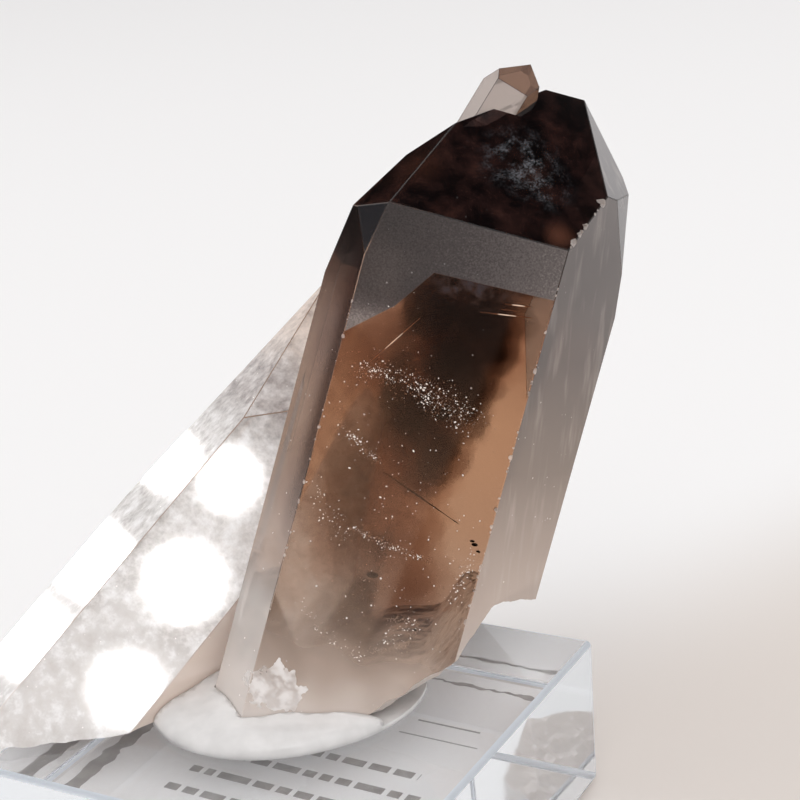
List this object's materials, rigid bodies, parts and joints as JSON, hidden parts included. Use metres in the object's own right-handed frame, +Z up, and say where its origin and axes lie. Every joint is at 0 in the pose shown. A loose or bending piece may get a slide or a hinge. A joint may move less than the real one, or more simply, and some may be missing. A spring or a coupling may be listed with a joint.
{
  "type": "smoky quartz specimen on a clear base",
  "caption": "Smoky quartz crystal with a paler crystal grown against its side, held by putty on a square clear acrylic base with a printed card beneath.",
  "frame": {"origin": "middle of the underside of the card, where the specimen rests", "axes": "+Z up, +Y away from the side that the card reads from, +X to the reader's right"},
  "size_m": [0.0525, 0.0543, 0.0678],
  "materials": {
    "smoky_quartz": "glassy crystal faces, near black at the tip and pale at the foot",
    "clear_putty": "soft translucent putty with a wet-looking skin",
    "clear_acrylic": "polished clear acrylic",
    "white_card": "matt white card printed in dark grey"
  },
  "bodies": {
    "root": {"quartz_crystals": "smoky_quartz", "mounting_putty": "clear_putty", "acrylic_base": "clear_acrylic", "label_card": "white_card"}
  },
  "joints": []
}
